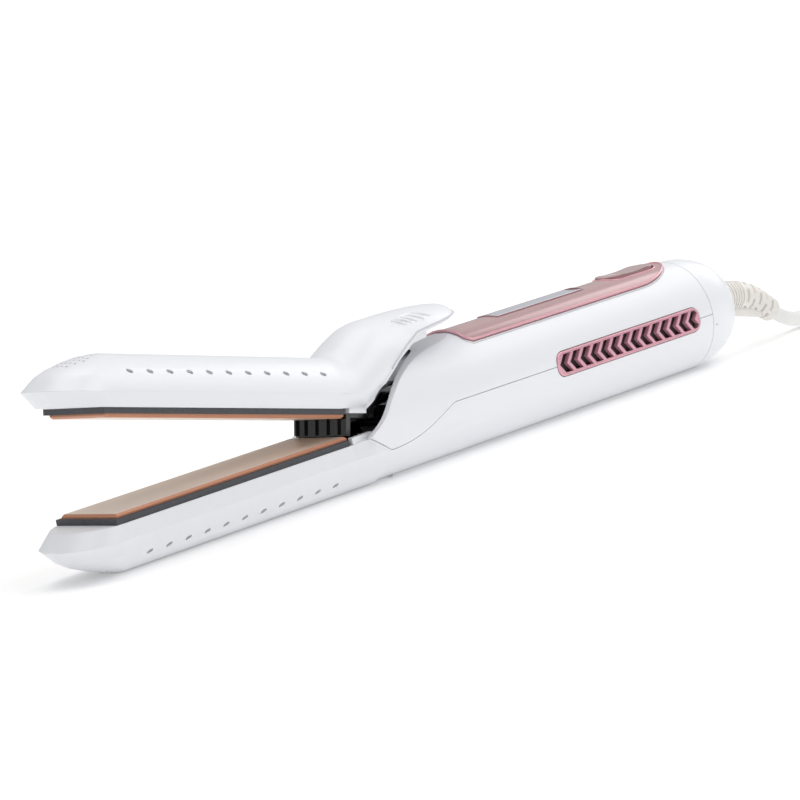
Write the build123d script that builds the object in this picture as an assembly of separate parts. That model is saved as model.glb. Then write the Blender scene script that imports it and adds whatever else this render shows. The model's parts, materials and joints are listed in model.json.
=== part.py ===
from build123d import *
import os
from math import cos, pi, radians, sin, sqrt, tan

# Hot-air straightening and curling tongs, millimetres.
# Design frame: x = 0 at the rear end of the heating plates, +X towards the cord,
# z = 0 in the plane where the closed plates meet, y = 0 in the plane of symmetry.
# Every finished piece is then moved so that the object stands on z = 0 with its
# middle at x = 0.

# --- driving dimensions ---------------------------------------------------
PLATE_L = 100.0            # heating plate, length
PLATE_W = 27.6             # heating plate, width
PLATE_T = 1.3              # heating plate, height above its carrier
CLOSED_GAP = 0.2           # gap left between the plates when the jaw is shut
CARRIER_W = 30.6
CARRIER_X0, CARRIER_X1 = -101.4, -0.5
ARM_BASE = 3.3             # height of an arm's rim from the closing plane
ARM_BASE_HW = 15.9         # half width of an arm at its rim
CREASE_Z = 8.2             # height of the arm's widest line
CREASE_HW = 17.4
ARM_ARC_R = 18.2           # outer back of an arm
ARM_ARC_Z = 2.45           # centre height of that arc
ARM_TOP = 20.65
NOSE_X = -116.3            # front end of both arms
NOSE_BASE_X = -111.2
NOSE_CORNER = 15.0
WALL = 2.0                 # moulded wall
HANDLE_R = 20.35
HANDLE_Z = 0.5             # height of the handle's axis
HANDLE_WALL = 2.2
SEAM_X = 181.0             # joint between the housing and the end cap
CAP_X = 203.7              # back face of the end cap
PARTING_Z = 0.5            # joint between the upper and the lower housing
PARTING_GAP = 0.18         # open groove along that joint
SEAM_GAP = 0.2
CAP_ROUND_X = 183.5        # where the cap's end starts to round off
CAP_WALL = 2.4
CAP_INNER_X = 192.0        # end of the hollow inside the cap
GLAND_X0, GLAND_X1 = 186.5, 191.6
GLAND_BORE_R = 6.6
NECK_R = 4.0               # inward step of the housing's rear end
SPIGOT_L = 2.9             # reach of the cap's spigot into the housing
FLAT_Z = -19.5             # underside flat that the object rests on
HINGE_X, HINGE_Z = 23.5, 1.55
OPEN_DEG = 14.0            # jaw opening at rest
PIN_R = 1.5
PIN_CLEAR = 0.05
WALL_FOOT = -5.6           # foot of the black wall behind the upper plate
DRUM_R = 11.4              # black drum that closes the gap behind the upper arm
HOLES = 11                 # air outlets along each side of each arm
HOLE_X0, HOLE_PITCH = -89.6, 8.12
HOLE_ANGLE = 42.0          # direction of an outlet above the horizontal
GRILLE_X0, GRILLE_X1 = 97.0, 173.6
GRILLE_H = 8.7
GRILLE_Z = 0.7
PANEL_X0, PANEL_X1 = 65.0, 177.0
PANEL_HW = 12.3
PANEL_R = 21.0
PANEL_IN_R = 19.3
WINDOW_X0, WINDOW_X1 = 88.0, 132.5
WINDOW_HW = 4.4
WINDOW_TOP = 21.35
WINDOW_FOOT = 20.2
KEY_X0, KEY_X1 = 147.0, 173.0
KEY_HW = 5.6
KEY_TOP = 22.2
KEY_FOOT = 19.7
DISH_R = 60.0              # hollow along the key's back
KEY_Z = 20.5               # height of the key's rocking axis
KEY_GAP = 0.35
FAN_X = 74.0
FAN_R = 15.0               # outside of the fan's ring
MOTOR_R, MOTOR_L = 7.0, 16.4
BLADES = 7
CHEVRON_PITCH = 5.3
CHEVRONS = 14
CHEVRON_RISE = 3.3
CHEVRON_W = 3.7
OUTLET_L, OUTLET_W = 2.5, 1.6
OUTLET_LEAN = 22.0         # lean of an outlet's long axis towards the jaw
VENT_R = 0.5               # small vents on the nose
VENT_PITCH = 2.3
VENT_X0, VENT_ROW = -106.6, 2.5
REACH = 30.0               # half width of a tool body that passes right through
BRACKET_SCREWS = [(24.0, -5.0), (24.0, 5.0), (33.0, 0.0)]
CORD_D = 5.5
CORD_Z = 1.25              # height of the cord's exit above the handle axis

KEY_MID = (KEY_X0 + KEY_X1) / 2
KEY_STEMS = (KEY_X0 + 5, KEY_X1 - 5)
MID_X = (NOSE_X + CAP_X) / 2
GROUND = Pos(-MID_X, 0, -FLAT_Z)
HINGE = Axis((HINGE_X, 0, HINGE_Z), (0, 1, 0))


def yz(x):
    """Sketch plane across the object at x: sketch x is +Y, sketch y is +Z."""
    return Plane(origin=(x, 0, 0), x_dir=(0, 1, 0), z_dir=(1, 0, 0))


def xz(y=0.0):
    """Sketch plane along the object: sketch x is +X, sketch y is +Z, normal -Y."""
    return Plane(origin=(0, y, 0), x_dir=(1, 0, 0), z_dir=(0, -1, 0))


def block(x0, x1, y0, y1, z0, z1):
    return Pos((x0 + x1) / 2, (y0 + y1) / 2, (z0 + z1) / 2) * Box(x1 - x0, y1 - y0, z1 - z0)


def bar(axis_dir, centre, radius, length):
    """Cylinder about a line through centre along axis_dir, centred on it."""
    return Plane(origin=centre, z_dir=axis_dir) * Cylinder(radius, length)


def along_y(outline, y0, y1):
    """Solid from a closed outline in the x-z plane, between two y values."""
    return extrude(xz(y1) * make_face(outline), y1 - y0)


def opened(piece):
    return piece.rotate(HINGE, OPEN_DEG)


def flipped(piece):
    return mirror(piece, Plane.XY)


# --- sections and outlines ------------------------------------------------
def section(x, z_top, y_crease, z_crease, y_base, z_base):
    """Closed cross-section at x: flat base, two side bands and an arched back."""
    band_r = Line((y_base, z_base), (y_crease, z_crease))
    back = ThreePointArc((y_crease, z_crease), (0, z_top), (-y_crease, z_crease))
    band_l = Line((-y_crease, z_crease), (-y_base, z_base))
    base = Line((-y_base, z_base), (y_base, z_base))
    return yz(x) * make_face([band_r, back, band_l, base])


def nose_outline(front, half_width, rear, corner):
    """Plan outline of an arm: square at the rear, rounded at the nose."""
    return Polyline(
        (rear, -half_width), (rear, half_width), (front + corner, half_width),
    ) + ThreePointArc(
        (front + corner, half_width),
        (front + corner * (1 - sqrt(0.5)), half_width - corner * (1 - sqrt(0.5))),
        (front, half_width - corner),
    ) + Line((front, half_width - corner), (front, corner - half_width)) + ThreePointArc(
        (front, corner - half_width),
        (front + corner * (1 - sqrt(0.5)), -half_width + corner * (1 - sqrt(0.5))),
        (front + corner, -half_width),
    ) + Line((front + corner, -half_width), (rear, -half_width))


def stack(stations, rear):
    """Body through plan outlines: height, front, half width and corner radius of each."""
    return loft([
        Pos(0, 0, z) * make_face(nose_outline(front, half_width, rear, corner))
        for z, front, half_width, corner in stations
    ], ruled=True)


# Plan outlines of the nose above the crease, and of the hollow inside it.
NOSE_CROWN = [
    (CREASE_Z, NOSE_X, CREASE_HW, NOSE_CORNER),
    (13.0, -112.6, 15.7, 15.5),
    (15.5, -108.4, 14.3, 14.1),
    (17.8, -103.0, 12.7, 12.5),
    (19.6, -97.5, 11.3, 11.1),
    (ARM_TOP + 0.05, -91.5, 10.3, 10.1),
]
NOSE_HOLLOW = [
    (-1.0, -110.6, 16.5, 13.5),
    (5.0, -110.6, 16.5, 13.5),
    (8.0, -113.2, 16.4, 13.5),
    (11.8, -110.0, 15.5, 14.5),
    (14.0, -105.8, 14.0, 13.5),
    (16.2, -100.8, 12.7, 12.2),
    (17.8, -95.5, 11.3, 11.0),
    (18.7, -90.0, 10.4, 10.2),
]
HOLLOW_X = -106.5          # front end of the hollow
NOSE_FLOOR_X = -100.9      # rear edge of the closed floor under the nose
NOSE_FLOOR_Z = 5.4


def arm_solid(rear):
    """Outer form of the upper arm from the nose to x = rear, closing plane at z = 0."""
    band = loft([
        Pos(0, 0, ARM_BASE) * make_face(nose_outline(NOSE_BASE_X, ARM_BASE_HW, rear, NOSE_CORNER - 1)),
        Pos(0, 0, CREASE_Z) * make_face(nose_outline(NOSE_X, CREASE_HW, rear, NOSE_CORNER)),
    ])
    arch = section(NOSE_X - 1, ARM_TOP, CREASE_HW, CREASE_Z, CREASE_HW, CREASE_Z - 0.01)
    back = extrude(arch, rear - NOSE_X + 1)
    return band + (back & stack(NOSE_CROWN, rear + 6))


LEVER_X0 = -3.0
LINER_INSET = 2.1          # inner moulding: distance from the lever's edge
LINER_PROUD = 2.2          # and height below its rim
# Stations of the lever: x, top height, half width and height of its edge, underside.
LEVER = [
    (LEVER_X0, ARM_TOP, CREASE_HW, CREASE_Z, ARM_BASE),
    (2.6, ARM_TOP + 0.2, CREASE_HW, 8.3, 3.7),
    (5.0, 22.6, CREASE_HW, 8.5, 4.0),
    (9.0, 26.3, 17.3, 9.3, 5.2),
    (12.1, 29.0, 17.2, 10.6, 7.6),
    (16.0, 31.9, 17.2, 13.6, 11.4),
    (19.2, 33.3, 17.2, 16.8, 14.8),
    (25.6, 34.9, 17.1, 24.1, 22.4),
    (31.3, 36.3, 17.0, 29.3, 27.6),
    (38.0, 37.8, 16.6, 31.6, 30.0),
    (44.0, 39.0, 15.6, 33.4, 31.9),
    (50.0, 39.9, 13.7, 35.3, 33.9),
    (54.4, 40.2, 10.7, 36.6, 35.2),
    (57.4, 40.0, 6.6, 37.5, 36.0),
    (58.8, 39.4, 3.2, 38.3, 36.7),
]

LEVER_HOLLOW = 10          # stations from the front that are hollow below
LINER_STATIONS = (3, 10)   # stations that the inner moulding runs through


def lever_solid(inset=0.0, last=len(LEVER)):
    """Lofted lever; with an inset it is the hollow inside it, open downwards."""
    faces = []
    for x, top, edge_y, edge_z, under in LEVER[:last]:
        edge_z = min(edge_z, top - inset - 0.3)
        base_y = edge_y - (CREASE_HW - ARM_BASE_HW) - inset
        faces.append(section(x, top - inset, edge_y - inset * 1.1, edge_z, base_y, under - inset))
    return loft(faces, ruled=True)


# --- air outlets ----------------------------------------------------------
def outlet_cutters():
    """Slanted oval outlets along both sides of the upper arm."""
    cutters = []
    a, lean = radians(HOLE_ANGLE), radians(OUTLET_LEAN)
    for side in (-1, 1):
        for i in range(HOLES):
            x = HOLE_X0 + i * HOLE_PITCH
            normal = Vector(0, side * cos(a), sin(a))
            centre = Vector(x, 0, ARM_ARC_Z) + normal * ARM_ARC_R
            slope_dir = Vector(cos(lean), side * sin(lean) * sin(a), -sin(lean) * cos(a))
            plane = Plane(origin=centre - normal * 4, x_dir=slope_dir, z_dir=normal)
            cutters.append(extrude(plane * SlotOverall(OUTLET_L, OUTLET_W), 7))
    return cutters


def nose_perforations():
    """Rows of small vents on the slope of the nose."""
    cutters = []
    for row, count in enumerate((4, 5, 6, 5, 4, 3)):
        for i in range(count):
            y = (i - (count - 1) / 2) * VENT_PITCH
            cutters.append(Pos(VENT_X0 + row * VENT_ROW, y, 17.5) * Cylinder(VENT_R, 9))
    return cutters


def arm_shell(rear):
    """Hollow upper arm with its outlets, open towards the plate."""
    shell = arm_solid(rear)
    inner = section(
        HOLLOW_X, ARM_TOP - WALL, CREASE_HW - 1.1 * WALL, CREASE_Z, ARM_BASE_HW - WALL, ARM_BASE - WALL,
    )
    hollow = extrude(inner, rear - HOLLOW_X) & stack(NOSE_HOLLOW, rear + 6)
    shell -= hollow - block(HOLLOW_X - 1, NOSE_FLOOR_X, -REACH, REACH, -1, NOSE_FLOOR_Z)
    return shell - outlet_cutters() - nose_perforations()


# --- upper arm pieces (closed position) ------------------------------------
def upper_shell():
    arm = arm_shell(LEVER_X0)
    lever = lever_solid() - lever_solid(inset=WALL, last=LEVER_HOLLOW)
    lip = block(1.0, 8.6, -15.7, 15.7, 1.9, 5.2) - block(-1, 9, -13.2, 13.2, 0, 8)
    return arm + lever + lip


def upper_liner():
    """Inner moulding that closes the lever from below and stands a little proud of its rim."""
    faces = []
    first, last = LINER_STATIONS
    for x, top, edge_y, edge_z, under in LEVER[first:last]:
        half = edge_y - LINER_INSET
        faces.append(section(x, under - 0.03, half, under - 0.06, half - 0.2, under - LINER_PROUD))
    skin = loft(faces, ruled=True)
    skin -= block(0, 13.3, -13.0, 13.0, -10, 14)
    return skin - bar((0, 1, 0), (HINGE_X, 0, HINGE_Z), DRUM_R + 0.06, 60.0)


def carrier():
    """Plate carrier of the upper arm with a spigot inside the arm."""
    body = block(CARRIER_X0, CARRIER_X1, -CARRIER_W / 2, CARRIER_W / 2, PLATE_T + CLOSED_GAP / 2, ARM_BASE)
    spigot = block(CARRIER_X0 + 3, CARRIER_X1 - 3, -12.6, 12.6, ARM_BASE, ARM_BASE + 2.6)
    bed = block(-PLATE_L + 3, -3, -10.5, 10.5, 0, ARM_BASE + 3)
    return body + spigot - bed


def plate():
    """Heating plate with bevelled edges and a tongue down into its carrier."""
    z0 = CLOSED_GAP / 2
    top = chamfer(
        block(-PLATE_L, 0, -PLATE_W / 2, PLATE_W / 2, z0, z0 + PLATE_T).edges().group_by(Axis.Z)[0], 0.7,
    )
    tongue = block(-PLATE_L + 3.2, -3.2, -10.3, 10.3, z0 + PLATE_T, ARM_BASE + 1)
    return top + tongue


def heater():
    """Ceramic heating bar in its aluminium clamp, on the back of the plate."""
    clamp = block(-92, -8, -9.5, 9.5, ARM_BASE + 1, ARM_BASE + 5)
    return clamp - block(-93, -7, -6.5, 6.5, ARM_BASE + 2.2, ARM_BASE + 3.8)


def heater_core():
    return block(-90, -10, -6.4, 6.4, ARM_BASE + 2.3, ARM_BASE + 3.7)


def knuckle():
    """Black hinge moulding of the upper arm: barrel, two webs, drum and flange."""
    barrel = bar((0, 1, 0), (HINGE_X, 0, HINGE_Z), 3.6, 17.0)
    drum = bar((0, 1, 0), (HINGE_X, 0, HINGE_Z), DRUM_R, 27.0)
    drum -= bar((0, 1, 0), (HINGE_X, 0, HINGE_Z), DRUM_R - 1.6, 30.0)
    keep = Polyline(
        (HINGE_X, HINGE_Z), (HINGE_X, HINGE_Z + 30), (HINGE_X - 40, HINGE_Z + 30),
        (HINGE_X - 40, HINGE_Z - 2.6), (HINGE_X, HINGE_Z),
    )
    drum &= along_y(keep, -20, 20)
    web = block(11, HINGE_X, -8.4, -6.4, HINGE_Z - 0.6, HINGE_Z + 3.4)
    webs = web + mirror(web, Plane.XZ)
    flange = block(2.2, 13.0, -12.9, 12.9, 4.2, 5.8)
    front = block(2.8, 3.9, -12.9, 12.9, WALL_FOOT, 5.8)
    fins = [
        block(2.0, 3.0, y - 0.5, y + 0.5, WALL_FOOT + 0.5, 5.0)
        for y in (-12.4, -8.2, -2.8, 2.8, 8.2, 12.4)
    ]
    ribs = [block(3.0, 12.4, y - 0.6, y + 0.6, 0.4, 5.0) for y in (-12.3, -6.2, 0.0, 6.2, 12.3)]
    lugs = [block(6.0, 12.0, y - 3.0, y + 3.0, 5.4, 12.0) for y in (-8.0, 8.0)]
    piece = barrel + drum + webs + flange + front + fins + ribs + lugs
    piece -= bar((0, 1, 0), (HINGE_X, 0, HINGE_Z), PIN_R + PIN_CLEAR, 40.0)
    return piece - knuckle_screws()


def knuckle_screws():
    """Two screws that hold the hinge moulding in the arm."""
    return [
        Pos(9.0, y, 13.6) * Cylinder(2.3, 1.8) + Pos(9.0, y, 10.5) * Cylinder(1.1, 6.0)
        for y in (-8.0, 8.0)
    ]


# --- handle pieces ----------------------------------------------------------
def parting_profile(top):
    """Everything below the joint line of the two housings, in side view."""
    line = Polyline((-130, -2.0), (5.4, -2.0), (14.8, -8.4))
    curve = Spline([(14.8, -8.4), (22.0, -8.0), (30.5, -6.0), (38.3, -2.7), (45.5, PARTING_Z)])
    rest = Polyline((45.5, PARTING_Z), (230, PARTING_Z), (230, top), (-130, top), (-130, -2.0))
    return line + curve + rest


def cheek_profile():
    """Everything above and ahead of the front edge of the upper housing, in side view."""
    curve = Spline([
        (5.4, -2.0), (8.0, -0.6), (12.5, 2.2), (19.4, 8.2), (29.0, 14.0),
        (40.0, 17.4), (49.4, 18.8), (58.0, 19.6), (PANEL_X0 - 0.2, HANDLE_R + 0.5),
    ])
    end = PANEL_X0 - 0.2
    rest = Polyline((end, HANDLE_R + 0.5), (end, 40), (-20, 40), (-20, -30), (5.4, -30), (5.4, -2.0))
    return curve + rest


def below_flat(x0):
    """Everything below the underside flat behind x0."""
    return block(x0, 230, -REACH, REACH, -40, FLAT_Z)


def handle_bar(radius, x0, x1):
    """Cylinder about the handle's axis."""
    return bar((1, 0, 0), ((x0 + x1) / 2, 0, HANDLE_Z), radius, x1 - x0)


def shaft_bar(radius, x0, x1):
    """Cylinder about the fan's shaft."""
    return bar((1, 0, 0), ((x0 + x1) / 2, 0, 0), radius, x1 - x0)


def grille_outline(grow=0.0):
    length = GRILLE_X1 - GRILLE_X0 + 2 * grow
    height = GRILLE_H + 2 * grow
    return Pos((GRILLE_X0 + GRILLE_X1) / 2, GRILLE_Z) * RectangleRounded(length, height, height * 0.42)


def grille_window(side, grow, reach0, reach1):
    """Prism through the handle's side in the shape of the grille."""
    return extrude(xz(side * reach0) * grille_outline(grow), -side * (reach1 - reach0))


def panel_outline(grow=0.0):
    """Plan outline of the control panel: square front, long rounded rear."""
    hw = PANEL_HW + grow
    x0, x1, x2 = PANEL_X0 - grow, 155.0, PANEL_X1 + grow
    rear = EllipticalCenterArc((x1, 0), x2 - x1, hw, start_angle=-90, arc_size=180)
    front = Polyline((x1, hw), (x0 + 2.0, hw), (x0, hw - 2.0), (x0, 2.0 - hw), (x0 + 2.0, -hw), (x1, -hw))
    return make_face(front + rear)


def lower_arm_transition():
    """Lower arm blending into the round handle."""
    faces = []
    for x, share in ((-6.0, 0.0), (-0.4, 0.0), (3.0, 0.25), (8.0, 0.7), (14.0, 1.0)):
        crease = CREASE_HW + (sqrt(HANDLE_R ** 2 - (CREASE_Z + HANDLE_Z) ** 2) - CREASE_HW) * share
        base = ARM_BASE_HW + (sqrt(HANDLE_R ** 2 - (2.0 + HANDLE_Z) ** 2) - ARM_BASE_HW) * share
        faces.append(section(x, ARM_TOP, crease, CREASE_Z, base, ARM_BASE - 1.3 * share))
    return loft(faces, ruled=True)


def housing_hollow(x0, x1):
    return handle_bar(HANDLE_R - HANDLE_WALL, x0, x1)


def cap_socket():
    """Stepped opening at the housing's rear end that takes the cap's spigot."""
    step = handle_bar(HANDLE_R - 1.2, SEAM_X - SPIGOT_L - 0.1, SEAM_X + 1)
    return step + handle_bar(HANDLE_R - HANDLE_WALL - NECK_R, SEAM_X - 9, SEAM_X + 1)


def lower_housing():
    arm = flipped(arm_shell(-4.0))
    blend = flipped(lower_arm_transition())
    hollow = section(-7.0, ARM_TOP - WALL, CREASE_HW - 2.2, CREASE_Z, ARM_BASE_HW - 2.1, ARM_BASE - 4)
    blend -= flipped(extrude(hollow, 22.5))
    shoulder = block(0.6, 10.0, -15.8, 15.8, -4.5, -0.9) - block(0, 11, -13.8, 13.8, -6, 0)
    tube = handle_bar(HANDLE_R, 13.99, SEAM_X - SEAM_GAP)
    tube -= housing_hollow(13.0, SEAM_X - 8.0)
    tube -= cap_socket()
    cut = Pos(0, 0, -PARTING_GAP) * along_y(parting_profile(40), -REACH, REACH)
    piece = arm + (blend - cut) + (tube - cut) + shoulder
    piece -= below_flat(-130)
    for side in (-1, 1):
        piece -= grille_window(side, 0.25, 10, 25)
    for x, y in BRACKET_SCREWS:
        piece -= Pos(x, y, -18) * Cylinder(1.0, 3.0)
    return piece


def upper_housing():
    tube = handle_bar(HANDLE_R, 5.0, SEAM_X - SEAM_GAP)
    tube -= housing_hollow(4.0, SEAM_X - 8.0)
    tube -= cap_socket()
    tube &= along_y(parting_profile(40), -REACH, REACH)
    tube -= along_y(cheek_profile(), -REACH, REACH)
    pocket = extrude(Pos(0, 0, 5) * panel_outline(0.15), 30) - handle_bar(PANEL_IN_R - 0.05, 50, 200)
    tube -= pocket
    tube -= block(KEY_X0 - 0.6, KEY_X1 + 0.6, -6.0, 6.0, 15, 25)
    for side in (-1, 1):
        tube -= grille_window(side, 0.25, 10, 25)
    return tube


def recess_floor():
    """Scooped floor between the cheeks, below the lever."""
    upper = Spline([(31.0, 8.0), (36.0, 12.6), (44.0, 15.8), (54.0, 17.2), (64.6, 18.2)])
    lower = Spline([(64.6, 16.6), (54.0, 15.6), (44.0, 14.2), (37.0, 11.2), (32.4, 7.2)])
    outline = upper + Line((64.6, 18.2), (64.6, 16.6)) + lower + Line((32.4, 7.2), (31.0, 8.0))
    return along_y(outline, -20, 20) & handle_bar(HANDLE_R - HANDLE_WALL - 0.05, 20, 66)


def end_cap():
    """Rounded cap with a spigot inside the housing and the cord's bore."""
    profile = Polyline((SEAM_X, 0), (SEAM_X, HANDLE_R), (CAP_ROUND_X, HANDLE_R))
    curve = Spline(
        [(CAP_ROUND_X, HANDLE_R), (189.8, 19.65), (194.7, 18.1), (199.6, 14.9), (202.3, 11.9), (CAP_X, 8.6)],
        tangents=[(1, 0), (0, -1)],
    )
    end = Polyline((CAP_X, 8.6), (CAP_X, 0), (SEAM_X, 0))
    cap = Pos(0, 0, HANDLE_Z) * revolve(Plane.XY * make_face(profile + curve + end), Axis.X)
    inner = handle_bar(HANDLE_R - CAP_WALL, SEAM_X - 1, CAP_INNER_X)
    spigot = handle_bar(HANDLE_R - 1.25, SEAM_X - SPIGOT_L, SEAM_X)
    spigot -= handle_bar(HANDLE_R - CAP_WALL, SEAM_X - 4, SEAM_X + 1)
    bore = shaft_bar(GLAND_BORE_R, GLAND_X0 - 0.5, CAP_X + 1).moved(Pos(0, 0, CORD_Z))
    cap = cap - inner + spigot - bore
    return cap - below_flat(SEAM_X - 5)


def cord_gland():
    """Clamp inside the cap that holds the strain relief."""
    body = shaft_bar(11.0, GLAND_X0, GLAND_X1).moved(Pos(0, 0, CORD_Z))
    return body - shaft_bar(CORD_D / 2 + 0.1, 180, 200).moved(Pos(0, 0, CORD_Z))


def control_panel():
    curved = handle_bar(PANEL_R, PANEL_X0 - 1, PANEL_X1 + 1) - handle_bar(PANEL_IN_R, 50, 200)
    curved &= extrude(Pos(0, 0, 5) * panel_outline(), 30)
    curved -= block(WINDOW_X0, WINDOW_X1, -WINDOW_HW, WINDOW_HW, WINDOW_FOOT, 25)
    hole = SlotOverall(KEY_X1 - KEY_X0 + 2 * KEY_GAP, 2 * (KEY_HW + KEY_GAP))
    return curved - extrude(Pos(KEY_MID, 0, 15) * hole, 15)


def display_window():
    top = block(WINDOW_X0, WINDOW_X1, -WINDOW_HW, WINDOW_HW, WINDOW_FOOT, WINDOW_TOP)
    return fillet(top.edges().group_by(Axis.Z)[-1], 0.3)


def display_module():
    return block(92, 138, -6.8, 6.8, 13.1, 16.4)


def control_board():
    return block(88, 172, -12.0, 12.0, 11.4, 13.0)


def rocker_key():
    """Oval rocking key with a plunger below each end."""
    outline = Pos(KEY_MID, 0, KEY_FOOT) * SlotOverall(KEY_X1 - KEY_X0, 2 * KEY_HW)
    cap = extrude(outline, KEY_TOP - KEY_FOOT)
    cap = fillet(cap.edges().group_by(Axis.Z)[-1], 0.7)
    dish = bar((0, 1, 0), (KEY_MID, 0, KEY_TOP - 0.5 + DISH_R), DISH_R, 4 * KEY_HW)
    stems = [Pos(x, 0, 17.4) * Cylinder(1.6, 5.0) for x in KEY_STEMS]
    return cap - dish + stems


def key_switches():
    """Two push switches on the board below the key."""
    return [block(x - 3, x + 3, -3, 3, 13.0, 14.4) for x in KEY_STEMS]


def chevrons():
    """V-shaped slots of the intake grille, pointing forwards."""
    slots = []
    z0, z1 = GRILLE_Z - CHEVRON_RISE, GRILLE_Z + CHEVRON_RISE
    start = (GRILLE_X0 + GRILLE_X1) / 2 - CHEVRON_PITCH * (CHEVRONS - 1) / 2
    for i in range(CHEVRONS):
        x = start + i * CHEVRON_PITCH
        slots.append(make_face(Polyline(
            (x - 2.6, GRILLE_Z), (x + 0.2, z1), (x + 0.2 + CHEVRON_W, z1),
            (x - 2.6 + CHEVRON_W, GRILLE_Z), (x + 0.2 + CHEVRON_W, z0), (x + 0.2, z0), (x - 2.6, GRILLE_Z),
        )))
    return slots


def grille(side):
    """Curved intake grille in one side of the handle."""
    plate_ = handle_bar(HANDLE_R + 0.05, 90, 180) - handle_bar(HANDLE_R - 1.7, 89, 181)
    plate_ &= grille_window(side, 0.0, 10, 25)
    for slot in chevrons():
        plate_ -= extrude(xz(side * 10) * slot, -side * 15)
    return plate_


def intake_filter(side):
    """Fine mesh screen behind a grille."""
    screen = handle_bar(HANDLE_R - 1.75, 98, 172) - handle_bar(HANDLE_R - 2.15, 97, 173)
    y0, y1 = sorted((side * 10, side * 25))
    return screen & block(98, 172, y0, y1, -2.6, 4.0)


# --- air drive ---------------------------------------------------------------
def fan_housing():
    ring = shaft_bar(FAN_R, FAN_X - 8, FAN_X + 8) - shaft_bar(FAN_R - 1.4, FAN_X - 9, FAN_X + 9)
    spokes = [
        (Pos(FAN_X + 6.5, 0, 0) * Rot(k * 120 + 30, 0, 0) * Pos(0, 9.5, 0) * Box(2.0, 9.0, 1.6))
        for k in range(3)
    ]
    hub = shaft_bar(6.0, FAN_X + 5.5, FAN_X + 7.5) - shaft_bar(1.6, FAN_X + 5, FAN_X + 8)
    return ring + spokes + hub


def fan_motor():
    body = shaft_bar(MOTOR_R, FAN_X + 7.6, FAN_X + 7.6 + MOTOR_L)
    return body - shaft_bar(1.05, FAN_X + 5, FAN_X + 16)


def fan_rotor():
    """Axial impeller on its shaft."""
    hub = shaft_bar(5.0, FAN_X - 4, FAN_X + 3)
    blade = Pos(FAN_X - 0.5, 0, 0) * Pos(0, 8.6, 0) * Rot(0, 38, 0) * Box(6.5, 8.6, 0.9)
    blades = [blade.rotate(Axis.X, k * 360 / BLADES) for k in range(BLADES)]
    shaft = shaft_bar(1.0, FAN_X, FAN_X + 15)
    return hub + blades + shaft


def air_duct():
    """Duct from the fan forwards to the arms."""
    outer = block(38, FAN_X - 8.1, -10.5, 10.5, -14.0, -3.0)
    return outer - block(37, FAN_X, -9.3, 9.3, -12.8, -4.2)


# --- hinge -------------------------------------------------------------------
def hinge_bracket():
    """Black root of the hinge: two ears, a foot and a front guard."""
    ear_outline = Polyline(
        (HINGE_X - 4.2, HINGE_Z), (HINGE_X - 6.0, -8.0), (HINGE_X - 8.0, -17.0),
        (HINGE_X + 13.0, -17.0), (HINGE_X + 4.2, -4.0), (HINGE_X + 4.2, HINGE_Z), (HINGE_X - 4.2, HINGE_Z),
    )
    ears = []
    for side in (-1, 1):
        y0, y1 = sorted((side * 9.0, side * 11.6))
        ears.append(along_y(ear_outline, y0, y1) + bar((0, 1, 0), (HINGE_X, side * 10.3, HINGE_Z), 4.2, 2.6))
    foot = block(HINGE_X - 8, HINGE_X + 13, -11.6, 11.6, -17.0, -15.4)
    guard = block(5.4, 6.8, -13.4, 13.4, -9.0, -0.6)
    floor = block(5.4, HINGE_X - 5, -13.4, 13.4, -9.0, -7.6)
    links = [block(HINGE_X - 8.0, HINGE_X - 4.4, y0, y0 + 2.6, -9.0, -7.6) for y0 in (-11.6, 9.0)]
    piece = foot + guard + floor + links + ears
    piece &= handle_bar(HANDLE_R - HANDLE_WALL - 0.05, 0, 60)
    piece -= bar((0, 1, 0), (HINGE_X, 0, HINGE_Z), PIN_R, 40.0)
    for x, y in BRACKET_SCREWS:
        piece -= Pos(x, y, -16) * Cylinder(1.0, 6.0)
    return piece


def hinge_pin():
    return bar((0, 1, 0), (HINGE_X, 0, HINGE_Z), PIN_R, 24.0)


def bracket_screws():
    return [
        Pos(x, y, -14.9) * Cylinder(2.0, 1.0) + Pos(x, y, -17.4) * Cylinder(1.0, 4.2)
        for x, y in BRACKET_SCREWS
    ]


def jaw_spring():
    """Torsion spring on the rear of the barrel, seen as its close-wound coil and two legs."""
    middle = (HINGE_X, 12.9, HINGE_Z)
    coil = bar((0, 1, 0), middle, 3.4, 2.2) - bar((0, 1, 0), middle, PIN_R, 5)
    leg = bar((0, 0, 1), (HINGE_X - 2.6, 12.9, -4.0), 0.5, 9.0)
    return coil + leg


def upper_wires():
    """Leads that cross the hinge to the upper heater, as far as the hinge."""
    wires = []
    for y in (-4.0, 4.0):
        points = [(31.0, y, -9.6), (31.0, y, -4.0), (33.0, y, 3.0), (41.0, y, 6.0), (60.0, y, 6.0)]
        path = FilletPolyline(points, radius=[2.5, 2.5, 3.0])
        wires.append(sweep(Plane(origin=path @ 0, z_dir=path % 0) * Circle(0.8), path=path))
    return wires


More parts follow.
